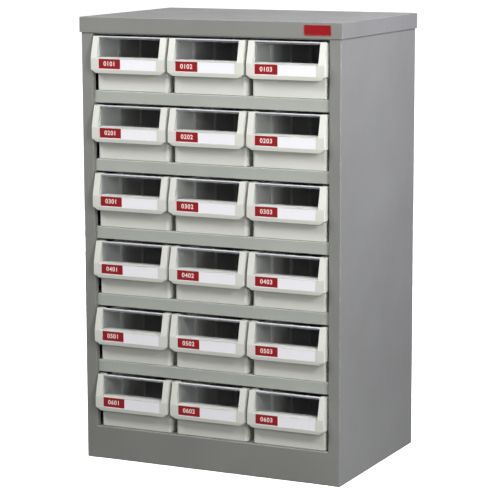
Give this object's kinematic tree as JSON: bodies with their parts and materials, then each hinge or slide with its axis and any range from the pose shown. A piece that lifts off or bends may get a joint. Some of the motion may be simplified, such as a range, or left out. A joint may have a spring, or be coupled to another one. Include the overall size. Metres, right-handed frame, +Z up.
{
  "type": "parts bin cabinet",
  "caption": "Free-standing sheet-steel cabinet with rows of sliding plastic parts bins, each with a clear window and a label panel.",
  "frame": {"origin": "middle of the overall footprint, on the floor", "axes": "+Z up, drawers open towards -Y, +X to the right seen from the front"},
  "size_m": [0.592, 0.417, 0.937],
  "materials": {
    "body_enamel": "grey baked enamel, satin",
    "shelf_enamel": "lighter grey baked enamel, satin",
    "bin_ivory": "ivory moulded plastic, fine matt",
    "window_clear": "clear moulded plastic",
    "badge_red": "red enamel, gloss",
    "zinc": "zinc plated"
  },
  "bodies": {
    "cabinet": {"top_cover": "body_enamel", "cover_badge": "badge_red", "left_side_panel": "body_enamel", "right_side_panel": "body_enamel", "back_panel": "body_enamel", "back_panel_screws": "zinc", "top_front_rail": "body_enamel", "top_rear_rail": "body_enamel", "base_rear_rail": "body_enamel", "plinth_panel": "body_enamel", "base_deck": "shelf_enamel", "shelf_1": "shelf_enamel", "shelf_2": "shelf_enamel", "shelf_3": "shelf_enamel", "shelf_4": "shelf_enamel", "shelf_5": "shelf_enamel", "drawer_guides_row_1": "shelf_enamel", "drawer_guides_row_2": "shelf_enamel", "drawer_guides_row_3": "shelf_enamel", "drawer_guides_row_4": "shelf_enamel", "drawer_guides_row_5": "shelf_enamel", "drawer_guides_row_6": "shelf_enamel"},
    "drawer_r1c1": {"drawer_bin_r1c1": "bin_ivory", "drawer_window_r1c1": "window_clear"},
    "drawer_r1c2": {"drawer_bin_r1c2": "bin_ivory", "drawer_window_r1c2": "window_clear"},
    "drawer_r1c3": {"drawer_bin_r1c3": "bin_ivory", "drawer_window_r1c3": "window_clear"},
    "drawer_r2c1": {"drawer_bin_r2c1": "bin_ivory", "drawer_window_r2c1": "window_clear"},
    "drawer_r2c2": {"drawer_bin_r2c2": "bin_ivory", "drawer_window_r2c2": "window_clear"},
    "drawer_r2c3": {"drawer_bin_r2c3": "bin_ivory", "drawer_window_r2c3": "window_clear"},
    "drawer_r3c1": {"drawer_bin_r3c1": "bin_ivory", "drawer_window_r3c1": "window_clear"},
    "drawer_r3c2": {"drawer_bin_r3c2": "bin_ivory", "drawer_window_r3c2": "window_clear"},
    "drawer_r3c3": {"drawer_bin_r3c3": "bin_ivory", "drawer_window_r3c3": "window_clear"},
    "drawer_r4c1": {"drawer_bin_r4c1": "bin_ivory", "drawer_window_r4c1": "window_clear"},
    "drawer_r4c2": {"drawer_bin_r4c2": "bin_ivory", "drawer_window_r4c2": "window_clear"},
    "drawer_r4c3": {"drawer_bin_r4c3": "bin_ivory", "drawer_window_r4c3": "window_clear"},
    "drawer_r5c1": {"drawer_bin_r5c1": "bin_ivory", "drawer_window_r5c1": "window_clear"},
    "drawer_r5c2": {"drawer_bin_r5c2": "bin_ivory", "drawer_window_r5c2": "window_clear"},
    "drawer_r5c3": {"drawer_bin_r5c3": "bin_ivory", "drawer_window_r5c3": "window_clear"},
    "drawer_r6c1": {"drawer_bin_r6c1": "bin_ivory", "drawer_window_r6c1": "window_clear"},
    "drawer_r6c2": {"drawer_bin_r6c2": "bin_ivory", "drawer_window_r6c2": "window_clear"},
    "drawer_r6c3": {"drawer_bin_r6c3": "bin_ivory", "drawer_window_r6c3": "window_clear"}
  },
  "joints": [
    {"name": "slide_r1c1", "type": "slide", "parent": "cabinet", "child": "drawer_r1c1", "axis": [0, -1, 0], "range_m": [0, 0.28]},
    {"name": "slide_r1c2", "type": "slide", "parent": "cabinet", "child": "drawer_r1c2", "axis": [0, -1, 0], "range_m": [0, 0.28]},
    {"name": "slide_r1c3", "type": "slide", "parent": "cabinet", "child": "drawer_r1c3", "axis": [0, -1, 0], "range_m": [0, 0.28]},
    {"name": "slide_r2c1", "type": "slide", "parent": "cabinet", "child": "drawer_r2c1", "axis": [0, -1, 0], "range_m": [0, 0.28]},
    {"name": "slide_r2c2", "type": "slide", "parent": "cabinet", "child": "drawer_r2c2", "axis": [0, -1, 0], "range_m": [0, 0.28]},
    {"name": "slide_r2c3", "type": "slide", "parent": "cabinet", "child": "drawer_r2c3", "axis": [0, -1, 0], "range_m": [0, 0.28]},
    {"name": "slide_r3c1", "type": "slide", "parent": "cabinet", "child": "drawer_r3c1", "axis": [0, -1, 0], "range_m": [0, 0.28]},
    {"name": "slide_r3c2", "type": "slide", "parent": "cabinet", "child": "drawer_r3c2", "axis": [0, -1, 0], "range_m": [0, 0.28]},
    {"name": "slide_r3c3", "type": "slide", "parent": "cabinet", "child": "drawer_r3c3", "axis": [0, -1, 0], "range_m": [0, 0.28]},
    {"name": "slide_r4c1", "type": "slide", "parent": "cabinet", "child": "drawer_r4c1", "axis": [0, -1, 0], "range_m": [0, 0.28]},
    {"name": "slide_r4c2", "type": "slide", "parent": "cabinet", "child": "drawer_r4c2", "axis": [0, -1, 0], "range_m": [0, 0.28]},
    {"name": "slide_r4c3", "type": "slide", "parent": "cabinet", "child": "drawer_r4c3", "axis": [0, -1, 0], "range_m": [0, 0.28]},
    {"name": "slide_r5c1", "type": "slide", "parent": "cabinet", "child": "drawer_r5c1", "axis": [0, -1, 0], "range_m": [0, 0.28]},
    {"name": "slide_r5c2", "type": "slide", "parent": "cabinet", "child": "drawer_r5c2", "axis": [0, -1, 0], "range_m": [0, 0.28]},
    {"name": "slide_r5c3", "type": "slide", "parent": "cabinet", "child": "drawer_r5c3", "axis": [0, -1, 0], "range_m": [0, 0.28]},
    {"name": "slide_r6c1", "type": "slide", "parent": "cabinet", "child": "drawer_r6c1", "axis": [0, -1, 0], "range_m": [0, 0.28]},
    {"name": "slide_r6c2", "type": "slide", "parent": "cabinet", "child": "drawer_r6c2", "axis": [0, -1, 0], "range_m": [0, 0.28]},
    {"name": "slide_r6c3", "type": "slide", "parent": "cabinet", "child": "drawer_r6c3", "axis": [0, -1, 0], "range_m": [0, 0.28]}
  ]
}
